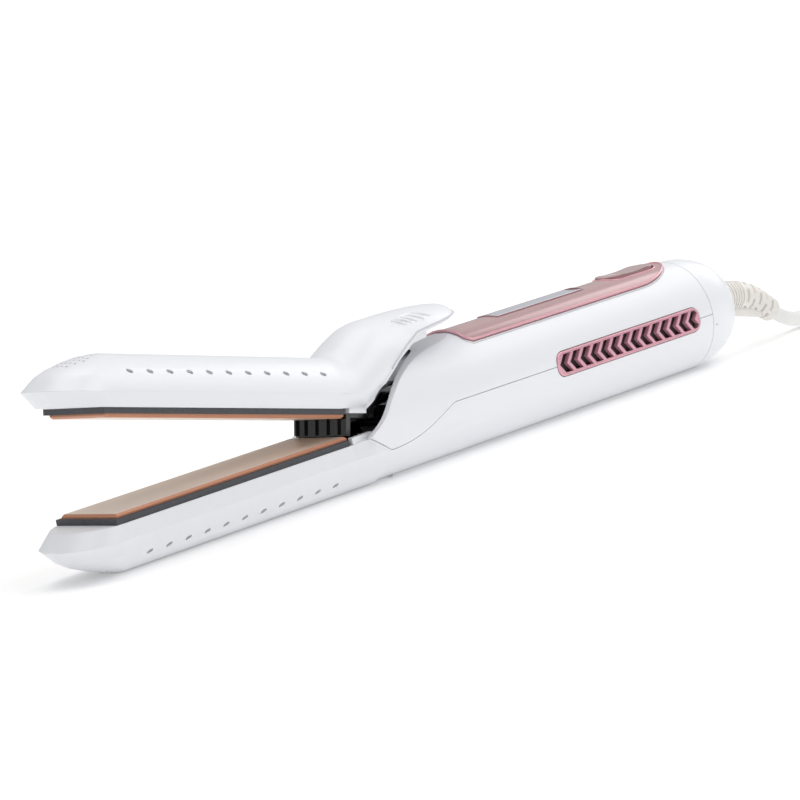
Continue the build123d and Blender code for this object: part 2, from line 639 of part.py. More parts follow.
# --- cord ----------------------------------------------------------------------
# Route of the cord in the finished frame; the hank's turns come from a formula.
EXIT_X = CAP_X - MID_X
AXIS_Z = -FLAT_Z
ROUTE = [
    (EXIT_X - 12.0, 0.0, AXIS_Z + CORD_Z),
    (EXIT_X, 0.0, AXIS_Z + CORD_Z + 0.1),
    (172.0, 0.0, 20.5),
    (182.0, 0.0, 17.4),
    (191.0, 0.0, 11.1),
    (200.5, 0.0, 5.3),
    (209.5, 0.6, 3.5),
    (220.0, 4.6, 3.4),
    (231.0, 10.3, 3.5),
    (242.0, 15.3, 3.4),
    (252.0, 17.6, 3.4),
    (262.0, 17.6, 3.4),
]
HANK_X, HANK_Y = 294.0, -8.3       # middle of the folded hank
HANK_RUN = 84.0                    # its straight stretch between the folds
HANK_OUT, HANK_IN = 25.9, 17.5     # fold radius of the outer and the inner turns
HANK_FOOT, HANK_TOP = 0.7, 22.9
HANK_END = (262.0, 17.6, 20.3)
TAIL = [
    (273.5, 16.9, 22.6),
    (282.5, 12.8, 25.9),
    (291.5, 6.8, 28.5),
    (300.0, 2.6, 29.8),
    (308.0, 1.5, 30.0),
]
PLUG_X, PLUG_Y, PLUG_Z = 308.0, 1.5, 30.0
PLUG_L, PLUG_W, PLUG_H = 36.0, 35.3, 13.8
GUARD_L = 18.0
BLADE_R, BLADE_L, BLADE_GAP = 2.0, 19.0, 18.6


def corner_radii(points):
    radii = []
    for a, b, c in zip(points, points[1:], points[2:]):
        u, v = Vector(*b) - Vector(*a), Vector(*c) - Vector(*b)
        half_turn = radians(u.get_angle(v) / 2)
        radii.append(0.45 * min(u.length, v.length) / tan(half_turn))
    return radii


def rope(points, radius, name):
    """Round cord along straight runs joined by tangent arcs."""
    radii = corner_radii(points)
    path = FilletPolyline(points, radius=radii)
    solid = sweep(Plane(origin=path @ 0, z_dir=path % 0) * Circle(radius), path=path)
    share = solid.volume / (pi * radius ** 2 * path.length)
    print(name, "length", round(path.length, 1), "volume share", round(share, 4))
    print(name, "radii", [round(r) for r in radii])
    return solid


def cord_coil():
    """Oblong ring that stands for the folded turns."""
    outer = SlotCenterToCenter(HANK_RUN, 2 * HANK_OUT + CORD_D)
    inner = SlotCenterToCenter(HANK_RUN, 2 * HANK_IN - CORD_D)
    ring = extrude(Pos(HANK_X, HANK_Y, HANK_FOOT) * (outer - inner), HANK_TOP - HANK_FOOT)
    rims = ring.edges().group_by(Axis.Z)
    return fillet(rims[0] + rims[-1], 2.0)


def cord_tie():
    """Strap around the middle of the hank."""
    half = HANK_OUT + CORD_D / 2 + 0.75
    outer = block(-4, 4, -half, half, 0.05, HANK_TOP + 0.65)
    strap = outer - block(-5, 5, 0.6 - half, half - 0.6, 0.65, HANK_TOP + 0.05)
    return Pos(HANK_X, HANK_Y, 0) * strap


def strain_relief():
    """Flexible sleeve that guides the cord out of the cap."""
    points = ROUTE[:5]
    path = FilletPolyline(points, radius=corner_radii(points))
    start = Plane(origin=path @ 0, z_dir=path % 0)
    return sweep(start * (Circle(6.5) - Circle(CORD_D / 2 + 0.12)), path=path)


def plug_body():
    """Flat two-pin plug with rounded sides and a tapered cord guard."""
    body = Pos(PLUG_X + GUARD_L + PLUG_L / 2, PLUG_Y, PLUG_Z) * Box(PLUG_L, PLUG_W, PLUG_H)
    body = fillet(body.edges().filter_by(Axis.X), 5.0)
    body = chamfer(body.faces().sort_by(Axis.X)[0].edges(), 2.5)
    mouth = Plane(origin=(PLUG_X + GUARD_L / 2, PLUG_Y, PLUG_Z), z_dir=(-1, 0, 0))
    guard = mouth * Cone(5.0, 3.8, GUARD_L + 0.2)
    return body + guard - bar((1, 0, 0), (PLUG_X + 2.0, PLUG_Y, PLUG_Z), CORD_D / 2 + 0.15, 8.0)


def plug_pins():
    x = PLUG_X + GUARD_L + PLUG_L + BLADE_L / 2
    return [bar((1, 0, 0), (x, PLUG_Y + s * BLADE_GAP / 2, PLUG_Z), BLADE_R, BLADE_L) for s in (-1, 1)]


# --- assembly ------------------------------------------------------------------
def save(name, piece, placed=True):
    parts = piece if isinstance(piece, list) else [piece]
    solids = [s for p in parts for s in p.solids()]
    if placed:
        solids = [GROUND * s for s in solids]
    shape = solids[0] if len(solids) == 1 else Compound(children=solids)
    shape.label = name
    export_step(shape, f"parts/{name}.step")


def main():
    os.makedirs("parts", exist_ok=True)
    moving = {
        "upper_shell": upper_shell(), "upper_liner": upper_liner(), "upper_carrier": carrier(),
        "upper_plate": plate(), "upper_heater": heater(), "upper_heater_core": heater_core(),
        "hinge_knuckle": knuckle(), "knuckle_screws": knuckle_screws(),
    }
    for name, piece in moving.items():
        pieces = piece if isinstance(piece, list) else [piece]
        save(name, [opened(p) for p in pieces])
    fixed = {
        "lower_housing": lower_housing(), "upper_housing": upper_housing(), "recess_floor": recess_floor(),
        "end_cap": end_cap(), "cord_gland": cord_gland(), "control_panel": control_panel(),
        "display_window": display_window(), "display_module": display_module(),
        "control_board": control_board(), "key_switches": key_switches(), "rocker_key": rocker_key(),
        "grille_left": grille(-1), "grille_right": grille(1),
        "filter_left": intake_filter(-1), "filter_right": intake_filter(1),
        "fan_housing": fan_housing(), "fan_motor": fan_motor(), "fan_rotor": fan_rotor(),
        "air_duct": air_duct(), "lower_carrier": flipped(carrier()), "lower_plate": flipped(plate()),
        "lower_heater": flipped(heater()), "lower_heater_core": flipped(heater_core()),
        "hinge_bracket": hinge_bracket(), "hinge_pin": hinge_pin(), "bracket_screws": bracket_screws(),
        "jaw_spring": jaw_spring(), "upper_wires": upper_wires(),
    }
    for name, piece in fixed.items():
        save(name, piece)
    save("strain_relief", strain_relief(), placed=False)
    save("cord_tube", rope(ROUTE, CORD_D / 2, "cord"), placed=False)
    save("cord_coil", cord_coil(), placed=False)
    save("cord_tail", rope([HANK_END] + TAIL, CORD_D / 2, "tail"), placed=False)
    save("cord_tie", cord_tie(), placed=False)
    save("plug_body", plug_body(), placed=False)
    save("plug_pins", plug_pins(), placed=False)


main()
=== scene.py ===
import json
import math
import bpy
import bmesh
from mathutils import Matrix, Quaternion, Vector


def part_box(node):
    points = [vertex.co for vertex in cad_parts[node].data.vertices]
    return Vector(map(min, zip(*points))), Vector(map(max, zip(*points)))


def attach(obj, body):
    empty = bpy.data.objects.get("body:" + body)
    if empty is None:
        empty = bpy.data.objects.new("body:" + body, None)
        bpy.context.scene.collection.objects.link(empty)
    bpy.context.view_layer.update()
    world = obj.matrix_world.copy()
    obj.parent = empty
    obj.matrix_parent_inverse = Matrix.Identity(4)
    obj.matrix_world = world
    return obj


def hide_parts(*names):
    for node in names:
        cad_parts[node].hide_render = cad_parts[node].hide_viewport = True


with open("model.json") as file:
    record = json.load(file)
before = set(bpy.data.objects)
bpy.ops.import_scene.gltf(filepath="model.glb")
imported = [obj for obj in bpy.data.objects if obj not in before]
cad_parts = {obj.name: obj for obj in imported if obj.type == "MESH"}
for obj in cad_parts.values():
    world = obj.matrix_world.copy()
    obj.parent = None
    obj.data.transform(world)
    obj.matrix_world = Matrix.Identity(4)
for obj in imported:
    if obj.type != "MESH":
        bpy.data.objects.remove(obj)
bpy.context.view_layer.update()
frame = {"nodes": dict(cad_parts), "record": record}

NODES = frame["nodes"]
MM = 0.001

# --- shared dimensions, millimetres, in the part's design frame ----------------
# x = 0 at the rear end of the plates, z = 0 where the closed plates meet.
CAP_X, FLAT_Z = 203.7, -19.5
HINGE_X, HINGE_Z, OPEN = 23.5, 1.55, math.radians(14.0)
HANDLE_R, HANDLE_Z = 20.35, 0.5
PANEL_X0, PANEL_X1, PANEL_HW, PANEL_R = 65.0, 177.0, 12.3, 21.0
WINDOW_X0, WINDOW_X1, WINDOW_HW = 88.0, 132.5, 4.4
KEY_X0, KEY_X1, KEY_HW, KEY_TOP = 147.0, 173.0, 5.6, 22.2
GRILLE_X0, GRILLE_X1, GRILLE_H, GRILLE_Z = 97.0, 173.6, 8.7, 0.7
# Stations of the lever with the jaw shut: x, top, half width and height of its edge.
LEVER = [
    (12.1, 29.0, 17.2, 10.6), (16.0, 31.9, 17.2, 13.6), (19.2, 33.3, 17.2, 16.8),
    (25.6, 34.9, 17.1, 24.1), (31.3, 36.3, 17.0, 29.3), (38.0, 37.8, 16.6, 31.6),
    (44.0, 39.0, 15.6, 33.4), (50.0, 39.9, 13.7, 35.3), (54.4, 40.2, 10.7, 36.6),
    (57.4, 40.0, 6.6, 37.5), (58.8, 39.4, 3.2, 38.3),
]
# Grip grooves on one side of the lever: both ends as x, y.
GROOVES = [
    ((26.9, 9.2), (29.5, 12.9)), ((28.6, 9.2), (31.8, 13.4)), ((31.0, 9.2), (34.3, 13.6)),
    ((34.0, 9.0), (37.6, 13.5)), ((37.0, 8.6), (41.2, 12.7)),
]
CORD_D = 5.5
SHARP = 22.0  # an edge between faces that turn by more degrees than this stays crisp
ORIGIN_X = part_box("end_cap")[1].x / MM - CAP_X


def placed(x, y, z):
    """Design millimetres to metres in the row frame."""
    return Vector(((x + ORIGIN_X) * MM, y * MM, (z - FLAT_Z) * MM))


def opened(x, y, z):
    """A point of the upper arm, given with the jaw shut, to the row frame at rest."""
    dx, dz = x - HINGE_X, z - HINGE_Z
    return placed(
        HINGE_X + dx * math.cos(OPEN) + dz * math.sin(OPEN), y,
        HINGE_Z - dx * math.sin(OPEN) + dz * math.cos(OPEN),
    )


def on_barrel(x, y, radius):
    """A point on top of the handle at that radius."""
    return placed(x, y, HANDLE_Z + math.sqrt(radius ** 2 - y ** 2))


# --- materials --------------------------------------------------------------
def linear(colour):
    """sRGB triple, 0 to 1, as linear RGBA."""
    made = [c / 12.92 if c <= 0.04045 else ((c + 0.055) / 1.055) ** 2.4 for c in colour]
    return (*made, 1.0)


def surface(name, colour, rough, metal=0.0, shade=0.04, shade_scale=35.0, grain=0.015,
            grain_scale=2600.0, rough_spread=0.05, stretch=(1, 1, 1), coat=0.0, specular=0.5, edge=0.15):
    """Principled material with slow colour variation, uneven gloss and a fine surface grain.

    grain is the depth of the surface grain and edge the radius that corners are shaded with, in
    millimetres.
    """
    m = bpy.data.materials.new(name)
    m.use_nodes = True
    nodes, links = m.node_tree.nodes, m.node_tree.links
    shader = nodes["Principled BSDF"]
    shader.inputs["Metallic"].default_value = metal
    shader.inputs["Coat Weight"].default_value = coat
    shader.inputs["Coat Roughness"].default_value = 0.08
    shader.inputs["Specular IOR Level"].default_value = specular
    place = nodes.new("ShaderNodeTexCoord")
    mapping = nodes.new("ShaderNodeMapping")
    mapping.inputs["Scale"].default_value = stretch
    links.new(place.outputs["Object"], mapping.inputs["Vector"])
    slow = nodes.new("ShaderNodeTexNoise")
    slow.inputs["Scale"].default_value = shade_scale
    slow.inputs["Detail"].default_value = 3.0
    links.new(mapping.outputs["Vector"], slow.inputs["Vector"])
    mix = nodes.new("ShaderNodeMix")
    mix.data_type = "RGBA"
    mix.inputs["A"].default_value = linear([max(0.0, c - shade) for c in colour])
    mix.inputs["B"].default_value = linear([min(1.0, c + shade) for c in colour])
    links.new(slow.outputs["Fac"], mix.inputs["Factor"])
    links.new(mix.outputs["Result"], shader.inputs["Base Color"])
    fine = nodes.new("ShaderNodeTexNoise")
    fine.inputs["Scale"].default_value = grain_scale
    fine.inputs["Detail"].default_value = 2.0
    links.new(mapping.outputs["Vector"], fine.inputs["Vector"])
    spread = nodes.new("ShaderNodeMapRange")
    spread.inputs["To Min"].default_value = max(0.02, rough - rough_spread)
    spread.inputs["To Max"].default_value = min(1.0, rough + rough_spread)
    links.new(fine.outputs["Fac"], spread.inputs["Value"])
    links.new(spread.outputs["Result"], shader.inputs["Roughness"])
    bump = nodes.new("ShaderNodeBump")
    bump.inputs["Strength"].default_value = 0.35
    bump.inputs["Distance"].default_value = grain * MM
    links.new(fine.outputs["Fac"], bump.inputs["Height"])
    soft = nodes.new("ShaderNodeBevel")
    soft.samples = 4
    soft.inputs["Radius"].default_value = edge * MM
    links.new(soft.outputs["Normal"], bump.inputs["Normal"])
    links.new(bump.outputs["Normal"], shader.inputs["Normal"])
    return m


def shade_by_facing(m, colour, start, end, axis="Z"):
    """Painted light and shade: a second colour where the surface turns away from one axis, from start to
    end of its normal.
    """
    nodes, links = m.node_tree.nodes, m.node_tree.links
    shader = nodes["Principled BSDF"]
    first = shader.inputs["Base Color"].links[0].from_socket
    place = nodes.new("ShaderNodeTexCoord")
    split = nodes.new("ShaderNodeSeparateXYZ")
    links.new(place.outputs["Normal"], split.inputs["Vector"])
    size = nodes.new("ShaderNodeMath")
    size.operation = "ABSOLUTE"
    links.new(split.outputs[axis], size.inputs[0])
    share = nodes.new("ShaderNodeMapRange")
    share.inputs["From Min"].default_value = start
    share.inputs["From Max"].default_value = end
    links.new(size.outputs["Value"], share.inputs["Value"])
    mix = nodes.new("ShaderNodeMix")
    mix.data_type = "RGBA"
    links.new(share.outputs["Result"], mix.inputs["Factor"])
    links.new(first, mix.inputs["A"])
    mix.inputs["B"].default_value = linear(colour)
    links.new(mix.outputs["Result"], shader.inputs["Base Color"])
    return m


MAT = {
    "white_shell": surface("white_shell_satin", (0.93, 0.935, 0.95), 0.33, shade=0.006, grain=0.02),
    # Painted shade: the rose panel turns darker towards its curved sides, where its normal tilts away from
    # upward.
    "rose_panel": shade_by_facing(
        surface("rose_panel_gloss_painted_edge_shade", (0.82, 0.68, 0.68), 0.24, metal=0.3, shade=0.015, coat=0.5),
        (0.60, 0.44, 0.45), 0.965, 0.79),
    "rose_grille": surface("rose_grille_satin", (0.84, 0.62, 0.68), 0.28, metal=0.2, shade=0.02),
    # Painted reflection: the display window's pale whitish blue base colour stands in for the white
    # surroundings it reflects.
    "display": surface("display_gloss_painted_reflection", (0.88, 0.91, 0.98), 0.10, coat=1.0, shade=0.01),
    # Painted light: the plates' flat tops are pale beige and their tilted faces a darker copper, set by
    # how far the normal tilts from upward.
    "copper_plate": shade_by_facing(
        surface("copper_plate_satin_painted_light", (0.93, 0.865, 0.81), 0.38, metal=0.15, shade=0.02,
                stretch=(0.05, 1, 1)),
        (0.78, 0.54, 0.42), 0.96, 0.80),
    "carrier_black": surface("carrier_charcoal", (0.28, 0.285, 0.30), 0.62, shade=0.045,
                             shade_scale=900.0, grain=0.06, grain_scale=1500.0),
    "hinge_black": surface("hinge_black_gloss", (0.035, 0.035, 0.04), 0.16, coat=0.6),
    # Painted highlight: a lighter copy of the rose colour for the beads on the panel's edge, the key's rim
    # and the grille rims.
    "rose_bright": surface("rose_edge_painted_highlight", (0.90, 0.67, 0.71), 0.18, metal=0.3, coat=0.6),
    "rose_dark": surface("rose_groove_dark", (0.36, 0.22, 0.22), 0.5),
    # Painted shade: grey for the line along the lever's edge, the shadow line beside the panel and the
    # inside of the cap's blind hole.
    "grey_line": surface("edge_line_painted_shade", (0.80, 0.80, 0.83), 0.4),
    # Painted shade: tan for the floors of the cord sleeve's slots.
    "sleeve_tan": surface("sleeve_slot_painted_shade", (0.66, 0.60, 0.52), 0.6),
    "steel": surface("steel_turned", (0.72, 0.72, 0.73), 0.25, metal=1.0),
    "circuit": surface("circuit_green", (0.12, 0.32, 0.2), 0.45),
    "ceramic": surface("ceramic_cream", (0.9, 0.88, 0.82), 0.6),
    "heater_clamp": surface("heater_clamp_alloy", (0.75, 0.76, 0.78), 0.4, metal=1.0),
    "motor": surface("motor_can", (0.6, 0.6, 0.62), 0.3, metal=1.0),
    "fan_grey": surface("fan_grey_moulded", (0.3, 0.31, 0.33), 0.5),
    "filter_mesh": surface("filter_mesh_dark", (0.13, 0.08, 0.09), 0.7),
    "sleeve_ivory": surface("sleeve_ivory_rubber", (0.905, 0.89, 0.87), 0.55),
    "cord_white": surface("cord_white_pvc", (0.93, 0.93, 0.92), 0.45),
    "wire": surface("wire_silicone", (0.12, 0.11, 0.12), 0.5),
    "tie": surface("tie_nylon", (0.88, 0.88, 0.88), 0.4),
    "plug_white": surface("plug_white_moulded", (0.92, 0.92, 0.92), 0.35),
    "pin_nickel": surface("pin_nickel_bright", (0.8, 0.79, 0.76), 0.2, metal=1.0),
}


def paint(obj, material):
    """Give an object one material and take its others away."""
    obj.data.materials.clear()
    obj.data.materials.append(material)


# --- camera -----------------------------------------------------------------
EYE = Vector((-0.7906, -0.84895, 0.18712))
LOOK = Vector((0.67288, 0.72623, -0.14078))
ROLL = math.radians(-11.06)
camera_data = bpy.data.cameras.new("camera")
camera_data.lens = 154.9
camera_data.sensor_width = 36.0
camera = bpy.data.objects.new("camera", camera_data)
bpy.context.scene.collection.objects.link(camera)
camera.location = EYE
camera.rotation_mode = "QUATERNION"
camera.rotation_quaternion = LOOK.to_track_quat("-Z", "Y") @ Quaternion((0, 0, 1), ROLL)
bpy.context.scene.camera = camera

# --- cord -------------------------------------------------------------------
# Centre line of the lead in millimetres of the row frame: from the cap to the hank, and from the
# hank up to the plug that lies on it.
ROUTE = [
    (148, 0, 20.75), (160, 0, 20.85), (172, 0, 20.5), (182, 0, 17.4), (191, 0, 11.1), (200.5, 0, 5.0),
    (209.5, 0.6, 3.0), (220, 4.6, 2.9), (231, 10.3, 2.9), (242, 15.3, 2.9), (252, 17.6, 2.9),
]
TAIL = [
    (273.5, 16.9, 22.4), (282.5, 12.8, 25.9), (291.5, 6.8, 28.5), (300, 2.6, 29.8), (308, 1.5, 30),
]
HANK_X, HANK_Y = 294.0, -8.3
HANK_RUN = 84.0
HANK_OUT, HANK_IN = 25.9, 17.5
HANK_LAYERS, HANK_TURNS = 4, 6
HANK_REST = 2.9
LAYER_RISE = 5.6
FOLD_POINTS = 6
RUN_SHORT = 10.0
CLIMB = 0.06


def hank_turn():
    """One turn: which fold a point belongs to, its angle about it, and its shift along the run."""
    step = 180 / FOLD_POINTS
    turn = [(-1, 90, 1), (1, 90, -1)]
    turn += [(1, 90 - step * (k + 0.5), 0) for k in range(FOLD_POINTS)]
    turn += [(1, -90, -1), (-1, -90, 1)]
    turn += [(-1, -90 - step * (k + 0.5), 0) for k in range(FOLD_POINTS)]
    return turn


def hank_points():
    """Flat oblong windings on top of each other, wound alternately inwards and outwards.

    The lead climbs to the next layer over a short share of the winding on both sides of the change.
    RUN_SHORT is how far the two points of a straight run lie inside its ends.
    """
    turn = hank_turn()
    count = HANK_TURNS * len(turn)
    chord = math.cos(math.pi / FOLD_POINTS / 2)
    points = []
    for i in range(count + 1):
        end, angle, shift = turn[i % len(turn)]
        share = i / count * HANK_LAYERS
        layer = min(int(share), HANK_LAYERS - 1)
        along = share - layer
        inward = along if layer % 2 == 0 else 1 - along
        radius = HANK_OUT + (HANK_IN - HANK_OUT) * inward
        reach = radius if shift else radius / chord
        ramp = max(0.0, (along - 1 + CLIMB) / CLIMB / 2) if layer < HANK_LAYERS - 1 else 0.0
        if layer and along < CLIMB:
            ramp = (along + CLIMB) / CLIMB / 2 - 1
        turned = math.radians(angle)
        points.append((
            HANK_X + end * HANK_RUN / 2 + shift * RUN_SHORT + reach * math.cos(turned),
            HANK_Y + reach * math.sin(turned),
            HANK_REST + LAYER_RISE * (layer + ramp),
        ))
    return points


def tube_curve(name, points, radius):
    """Round NURBS tube through chosen points, clamped at both ends."""
    curve = bpy.data.curves.new(name, "CURVE")
    curve.dimensions = "3D"
    curve.bevel_depth = radius
    curve.bevel_resolution = 5
    curve.resolution_u = 8
    spline = curve.splines.new("NURBS")
    spline.points.add(len(points) - 1)
    for point, place in zip(spline.points, points):
        point.co = (*place, 1.0)
    spline.order_u = 3
    spline.use_endpoint_u = True
    obj = bpy.data.objects.new(name, curve)
    bpy.context.scene.collection.objects.link(obj)
    return obj


route = [tuple(c * MM for c in p) for p in ROUTE + hank_points() + TAIL]
cord = tube_curve("mains_cord", route, CORD_D / 2 * MM)
cord.data.materials.append(MAT["cord_white"])
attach(cord, "handle")
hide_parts("cord_tube", "cord_coil", "cord_tail")

# --- stage ------------------------------------------------------------------
FLOOR_SIDE, FLOOR_NEAR, FLOOR_FAR = 90.0, -20.0, 160.0
FLOOR_GAP = 0.0004


def far_glow(m, near, far, start, end):
    """Painted light: the floor glows, growing from near to far between two distances in metres from the
    object.
    """
    nodes, links = m.node_tree.nodes, m.node_tree.links
    place = nodes.new("ShaderNodeTexCoord")
    size = nodes.new("ShaderNodeVectorMath")
    size.operation = "LENGTH"
    links.new(place.outputs["Object"], size.inputs[0])
    glow = nodes.new("ShaderNodeMapRange")
    glow.inputs["From Min"].default_value = start
    glow.inputs["From Max"].default_value = end
    glow.inputs["To Min"].default_value = near
    glow.inputs["To Max"].default_value = far
    links.new(size.outputs["Value"], glow.inputs["Value"])
    shader = nodes["Principled BSDF"]
    shader.inputs["Emission Color"].default_value = (1, 1, 1, 1)
    links.new(glow.outputs["Result"], shader.inputs["Emission Strength"])


def softbox(name, place, target, size, power):
    """Rectangular studio light aimed at a point."""
    light = bpy.data.lights.new(name, "AREA")
    light.shape = "RECTANGLE"
    light.size, light.size_y = size
    light.energy = power
    obj = bpy.data.objects.new(name, light)
    bpy.context.scene.collection.objects.link(obj)
    obj.location = place
    obj.rotation_mode = "QUATERNION"
    obj.rotation_quaternion = (Vector(target) - Vector(place)).to_track_quat("-Z", "Y")


floor_mesh = bpy.data.meshes.new("floor")
floor_mesh.from_pydata([
    (-FLOOR_SIDE, FLOOR_NEAR, 0), (FLOOR_SIDE, FLOOR_NEAR, 0),
    (FLOOR_SIDE, FLOOR_FAR, 0), (-FLOOR_SIDE, FLOOR_FAR, 0),
], [], [(0, 1, 2, 3)])
floor = bpy.data.objects.new("floor", floor_mesh)
bpy.context.scene.collection.objects.link(floor)
floor.location.z = -FLOOR_GAP
floor_mat = surface("floor_white", (0.97, 0.97, 0.97), 0.7, shade=0.003, grain=0.005,
                    grain_scale=400.0, specular=0.0)
# Painted light: the floor glows faintly near the object and brightly far from it.
far_glow(floor_mat, 0.16, 0.75, 0.45, 2.2)
floor_mesh.materials.append(floor_mat)

softbox("key_light", (0.5, -0.8, 1.3), (0, 0, 0.03), (1.4, 1.0), 9)
softbox("top_light", (-0.1, 0.3, 1.5), (0, 0, 0.03), (1.6, 1.0), 9.6)
softbox("rim_light", (1.3, 0.1, 0.7), (0.1, 0, 0.03), (0.8, 0.8), 3.5)
world = bpy.data.worlds.new("studio")
world.use_nodes = True
backdrop = world.node_tree.nodes["Background"]
backdrop.inputs["Color"].default_value = (1, 1, 1, 1)
backdrop.inputs["Strength"].default_value = 0.42
bpy.context.scene.world = world
bpy.context.scene.view_settings.view_transform = "Standard"


# --- CAD nodes' materials ---------------------------------------------------
def smooth(data, angle):
    """Smooth shading with crisp edges beyond an angle in degrees."""
    data.polygons.foreach_set("use_smooth", [True] * len(data.polygons))
    data.set_sharp_from_angle(angle=math.radians(angle))


for part in frame["record"]["subparts"]:
    node = NODES[part["node"]]
    paint(node, MAT[part["material_slot"]])
    smooth(node.data, SHARP)


# --- detail pieces ----------------------------------------------------------
BEAD_SHARP = 60.0
LINE_R, RIM_R = 0.35, 0.3
LONGEST_RUN = 3.0


def add_piece(name, data, body, material):
    """Link a mesh as a shown piece that rides on a CAD body."""
    obj = bpy.data.objects.new(name, data)
    bpy.context.scene.collection.objects.link(obj)
    paint(obj, MAT[material])
    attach(obj, body)
    return obj


def bead(points, radius, closed=False, sides=3):
    """Mesh of a round bead along a line of points, its radius in millimetres."""
    curve = bpy.data.curves.new("bead", "CURVE")
    curve.dimensions = "3D"
    curve.bevel_depth = radius * MM
    curve.bevel_resolution = sides
    curve.use_fill_caps = True
    spline = curve.splines.new("POLY")
    spline.points.add(len(points) - 1)
    for point, place in zip(spline.points, points):
        point.co = (*place, 1.0)
    spline.use_cyclic_u = closed
    holder = bpy.data.objects.new("bead", curve)
    data = bpy.data.meshes.new_from_object(holder)
    bpy.data.objects.remove(holder)
    bpy.data.curves.remove(curve)
    smooth(data, BEAD_SHARP)
    return data


def rounded_loop(x0, x1, half, corner, steps=8):
    """Rounded rectangle in x and one side coordinate, centred on zero in the second."""
    loop = []
    for cx, cy, start in ((x1 - corner, half - corner, 90), (x1 - corner, corner - half, 0),
                          (x0 + corner, corner - half, -90), (x0 + corner, half - corner, -180)):
        for k in range(steps + 1):
            turned = math.radians(start - 90 * k / steps)
            loop.append((cx + corner * math.cos(turned), cy + corner * math.sin(turned)))
    return loop


def subdivided(loop):
    """A closed loop with its long runs split, so that it can follow a curved surface."""
    made = []
    for (x0, y0), (x1, y1) in zip(loop, loop[1:] + loop[:1]):
        parts = max(1, math.ceil(math.hypot(x1 - x0, y1 - y0) / LONGEST_RUN))
        made += [(x0 + (x1 - x0) * k / parts, y0 + (y1 - y0) * k / parts) for k in range(parts)]
    return made


# The shell of the upper arm, with the grip grooves cut into its lever.
GROOVE_R = 0.62
GROOVE_STEPS = 6
GROOVE_LIFT = 0.1
GROOVE_RUNOUT = 0.35  # how much higher the ends of a groove lie than its middle


def lever_top(x, y):
    """Height of the lever's back with the jaw shut."""
    for (xa, ta, ha, ea), (xb, tb, hb, eb) in zip(LEVER, LEVER[1:]):
        if xa <= x <= xb:
            heights = []
            for top, half, edge in ((ta, ha, ea), (tb, hb, eb)):
                middle = (top ** 2 - edge ** 2 - half ** 2) / 2 / (top - edge)
                heights.append(middle + math.sqrt((top - middle) ** 2 - y ** 2))
            return heights[0] + (heights[1] - heights[0]) * (x - xa) / (xb - xa)
    return LEVER[-1][1]


def groove_cutters():
    """Round-ended bars that lie in the lever's back."""
    made = bmesh.new()
    for (xa, ya), (xb, yb) in GROOVES:
        for side in (-1, 1):
            line = []
            for k in range(GROOVE_STEPS + 1):
                share = k / GROOVE_STEPS
                x, y = xa + (xb - xa) * share, ya + (yb - ya) * share
                lift = GROOVE_LIFT + GROOVE_RUNOUT * (2 * share - 1) ** 4
                line.append(opened(x, side * y, lever_top(x, y) + lift))
            made.from_mesh(bead(line, GROOVE_R, sides=2))
    data = bpy.data.meshes.new("groove_cutters")
    made.to_mesh(data)
    made.free()
    return data


def cut(name, source, cutter_data):
    """Copy of a CAD node's mesh with cutters taken out of it."""
    target = bpy.data.objects.new(name + "_raw", source.data.copy())
    cutter = bpy.data.objects.new(name + "_cutter", cutter_data)
    for obj in (target, cutter):
        bpy.context.scene.collection.objects.link(obj)
    step = target.modifiers.new("cut", "BOOLEAN")
    step.operation = "DIFFERENCE"
    step.solver = "EXACT"
    step.object = cutter
    bpy.context.view_layer.update()
    graph = bpy.context.evaluated_depsgraph_get()
    data = bpy.data.meshes.new_from_object(target.evaluated_get(graph))
    for obj in (target, cutter):
        bpy.data.objects.remove(obj)
    return data


shell_data = cut("arm_shell", NODES["upper_shell"], groove_cutters())
smooth(shell_data, SHARP)
shell = add_piece("upper_arm_shell", shell_data, "upper_arm", "white_shell")
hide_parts("upper_shell")

# Painted shade: a grey bead along the lever's free edge, where its white top turns down to its side.
free_edge = LEVER[2:]
edge_points = [opened(x, -half, edge) for x, _, half, edge in free_edge]
edge_points += [opened(x, half, edge) for x, _, half, edge in reversed(free_edge)]
add_piece("lever_edge_shade_line", bead(edge_points, LINE_R), "upper_arm", "grey_line")

# Control panel: its edge strip in a painted highlight, a grey painted shadow line beside it, rims (the
# key's rim in a painted highlight) and the key's mark.
PANEL_CORNER = 2.0
PANEL_ROUND_X, PANEL_ROUND_STEPS = 155.0, 24
STRIP_R, STRIP_SINK = 0.5, 0.05
SHADOW_R, SHADOW_SINK, SHADOW_OUT = 0.16, 0.02, 0.75
WINDOW_RIM_R, WINDOW_OUT, WINDOW_CORNER = 0.42, 0.5, 1.2
KEY_OUT, KEY_CORNER = 0.7, KEY_HW + 0.65
MARK_R, MARK_SINK = 0.32, 0.38


def panel_loop(grow):
    """Outline of the panel seen from above: a chamfered front and a round rear end."""
    front, half = PANEL_X0 - grow, PANEL_HW + grow
    loop = [
        (front + PANEL_CORNER, half), (front, half - PANEL_CORNER),
        (front, PANEL_CORNER - half), (front + PANEL_CORNER, -half),
    ]
    for k in range(PANEL_ROUND_STEPS + 1):
        turned = math.radians(-90 + 180 * k / PANEL_ROUND_STEPS)
        reach = (PANEL_X1 + grow - PANEL_ROUND_X) * math.cos(turned)
        loop.append((PANEL_ROUND_X + reach, half * math.sin(turned)))
    return subdivided(loop)


def barrel_ring(name, loop, barrel_radius, bead_radius, material):
    """Closed bead round a part of the panel, laid on the barrel."""
    points = [on_barrel(x, y, barrel_radius) for x, y in loop]
    add_piece(name, bead(points, bead_radius, closed=True), "handle", material)


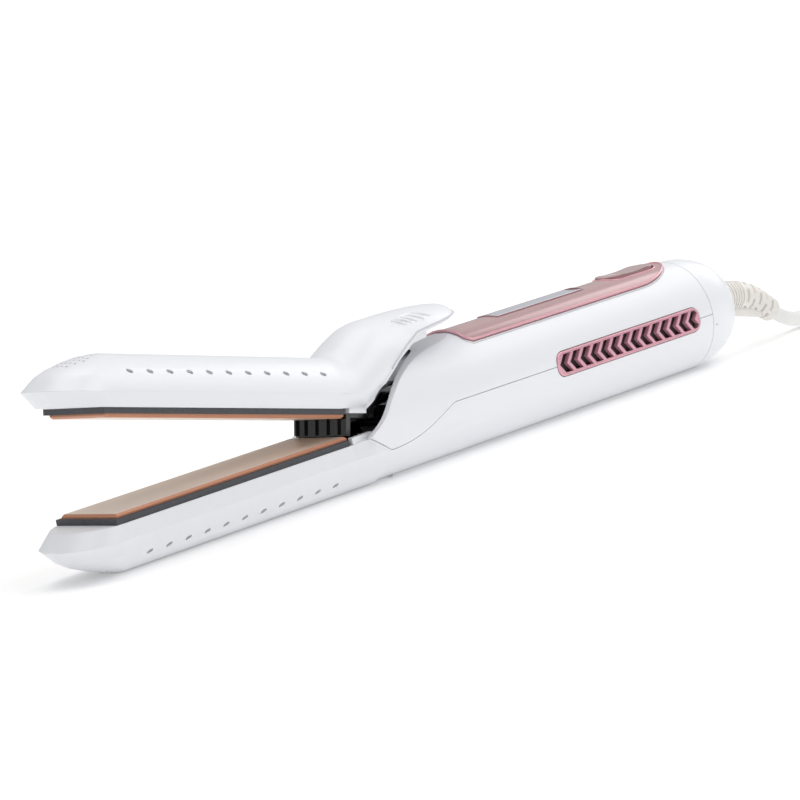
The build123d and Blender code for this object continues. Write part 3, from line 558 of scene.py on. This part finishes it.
barrel_ring("panel_edge_strip", panel_loop(0.0), PANEL_R - STRIP_SINK, STRIP_R, "rose_bright")
barrel_ring("panel_shadow_line", panel_loop(SHADOW_OUT), HANDLE_R - SHADOW_SINK, SHADOW_R, "grey_line")
window_loop = rounded_loop(
    WINDOW_X0 - WINDOW_OUT, WINDOW_X1 + WINDOW_OUT, WINDOW_HW + WINDOW_OUT, WINDOW_CORNER)
barrel_ring("window_rim", subdivided(window_loop), PANEL_R, WINDOW_RIM_R, "rose_panel")
key_loop = rounded_loop(KEY_X0 - KEY_OUT, KEY_X1 + KEY_OUT, KEY_HW + KEY_OUT, KEY_CORNER, 12)
barrel_ring("key_rim", subdivided(key_loop), PANEL_R, LINE_R, "rose_bright")
mark_points = [placed(x, 0, KEY_TOP - MARK_SINK) for x in (168.4, 169.4, 170.4, 171.0)]
add_piece("key_mark", bead(mark_points, MARK_R), "rocker", "rose_dark")

# Raised rims of the two intake grilles, in a painted highlight.
GRILLE_IN, GRILLE_CORNER = 0.3, GRILLE_H * 0.4
grille_loop = subdivided(
    rounded_loop(GRILLE_X0 + GRILLE_IN, GRILLE_X1 - GRILLE_IN, GRILLE_H / 2 - GRILLE_IN, GRILLE_CORNER))
for side, label in ((-1, "left"), (1, "right")):
    rim_points = []
    for x, z in grille_loop:
        level = GRILLE_Z + z
        depth = math.sqrt(HANDLE_R ** 2 - (level - HANDLE_Z) ** 2)
        rim_points.append(placed(x, side * depth, level))
    rim = bead(rim_points, RIM_R, closed=True)
    add_piece("grille_rim_" + label, rim, "handle", "rose_bright")

# Small blind hole on the near side of the end cap, shown as a grey dot of painted shade level with its
# wall.
DOT_X, DOT_ANGLE, DOT_R = 182.7, math.radians(192.0), 0.4
DOT_DEPTHS = (19.2, 19.9, 20.42)
dot_points = [
    placed(DOT_X, r * math.cos(DOT_ANGLE), HANDLE_Z + r * math.sin(DOT_ANGLE)) for r in DOT_DEPTHS
]
add_piece("cap_dimple", bead(dot_points, DOT_R), "handle", "grey_line")


# --- cord sleeve ------------------------------------------------------------
def cord_line():
    """Points of the cord's own spline, from the exit on."""
    thin = cord.copy()
    thin.data = cord.data.copy()
    thin.data.bevel_depth = 0.0
    data = bpy.data.meshes.new_from_object(thin)
    line = [v.co.copy() for v in data.vertices]
    bpy.data.objects.remove(thin)
    return line


def along(line, distance):
    """Place and direction at a distance along a line of points."""
    walked = 0.0
    for a, b in zip(line, line[1:]):
        step = (b - a).length
        if walked + step >= distance:
            return a.lerp(b, (distance - walked) / step), (b - a).normalized()
        walked += step
    return line[-1], (line[-1] - line[-2]).normalized()


SLEEVE_L = 47.5
SLEEVE_R0, SLEEVE_R1 = 6.4, 4.5
TAPER_FROM = 12.0
SLEEVE_SIDES = 64
BORE_R = CORD_D / 2 + 0.08
RIBS_FROM, RIBS, RIB_PITCH = 12.5, 9, 1.5
RIB_GAP, RIB_DEPTH = 0.8, 0.55
SLOTS_FROM, SLOT_ROWS, SLOT_PITCH, SLOTS_ROUND = 27.0, 5, 3.7, 5
SLOT_L, SLOT_DEPTH, SLOT_EDGE = 1.5, 0.8, 0.18
FLANK = 0.15
TIP_ROUND, TIP_EDGE = 0.9, 0.3
SLEEVE_SHARP = 40.0


def sleeve_stations():
    """Distances along the sleeve with how deep a ring groove or a slot row is there."""
    stations = [(0.0, 0.0, 0.0)]
    for k in range(RIBS):
        x = RIBS_FROM + k * RIB_PITCH
        stations += [
            (x, 0.0, 0.0), (x + FLANK, RIB_DEPTH, 0.0),
            (x + RIB_GAP - FLANK, RIB_DEPTH, 0.0), (x + RIB_GAP, 0.0, 0.0),
        ]
    for k in range(SLOT_ROWS):
        x = SLOTS_FROM + k * SLOT_PITCH
        stations += [
            (x, 0.0, 0.0), (x + FLANK, 0.0, SLOT_DEPTH),
            (x + SLOT_L - FLANK, 0.0, SLOT_DEPTH), (x + SLOT_L, 0.0, 0.0),
        ]
    stations += [
        (SLEEVE_L - TIP_ROUND, 0.0, 0.0), (SLEEVE_L - TIP_EDGE, TIP_EDGE, 0.0), (SLEEVE_L, TIP_ROUND, 0.0),
    ]
    return stations


def sleeve_ring(made, line, distance, radii):
    """Ring of vertices about the cord at a distance, with one radius in millimetres per vertex."""
    centre, forward = along(line, distance * MM)
    side = Vector((0, 1, 0))
    up = forward.cross(side).normalized()
    ring = []
    for k, radius in enumerate(radii):
        turned = 2 * math.pi * k / SLEEVE_SIDES
        offset = side * math.cos(turned) + up * math.sin(turned)
        ring.append(made.verts.new(centre + offset * radius * MM))
    return ring


def in_slot(distance, k):
    """Whether a vertex of the ring at that distance lies within the width of a slot."""
    staggered = int((distance - SLOTS_FROM) / SLOT_PITCH + 0.01) % 2
    share = k / SLEEVE_SIDES * SLOTS_ROUND + staggered / 2
    return SLOT_EDGE < share % 1.0 < 1 - SLOT_EDGE


def make_sleeve():
    """Tapering sleeve round the cord, with ring grooves, staggered slots and a bore; the slot floors take
    a second material, a tan painted shade.
    """
    line = cord_line()
    made = bmesh.new()
    rings, floors = [], []
    for distance, groove, slot_depth in sleeve_stations():
        taper = max(0.0, distance - TAPER_FROM) / (SLEEVE_L - TAPER_FROM)
        outer = SLEEVE_R0 + (SLEEVE_R1 - SLEEVE_R0) * taper - groove
        sunk = [slot_depth if in_slot(distance, k) else 0.0 for k in range(SLEEVE_SIDES)]
        rings.append(sleeve_ring(made, line, distance, [outer - depth for depth in sunk]))
        floors.append(sunk)
    for distance in (SLEEVE_L, 0.0):
        rings.append(sleeve_ring(made, line, distance, [BORE_R] * SLEEVE_SIDES))
        floors.append([0.0] * SLEEVE_SIDES)
    for i, first in enumerate(rings):
        j = (i + 1) % len(rings)
        for k in range(SLEEVE_SIDES):
            n = (k + 1) % SLEEVE_SIDES
            face = made.faces.new((first[k], first[n], rings[j][n], rings[j][k]))
            if floors[i][k] and floors[i][n] and any(floors[j]):
                # Painted shade: slot floors get the sleeve's second material, tan.
                face.material_index = 1
    bmesh.ops.recalc_face_normals(made, faces=made.faces)
    data = bpy.data.meshes.new("cord_sleeve")
    made.to_mesh(data)
    made.free()
    smooth(data, SLEEVE_SHARP)
    return data


sleeve = add_piece("cord_sleeve", make_sleeve(), "handle", "sleeve_ivory")
sleeve.data.materials.append(MAT["sleeve_tan"])
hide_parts("strain_relief")
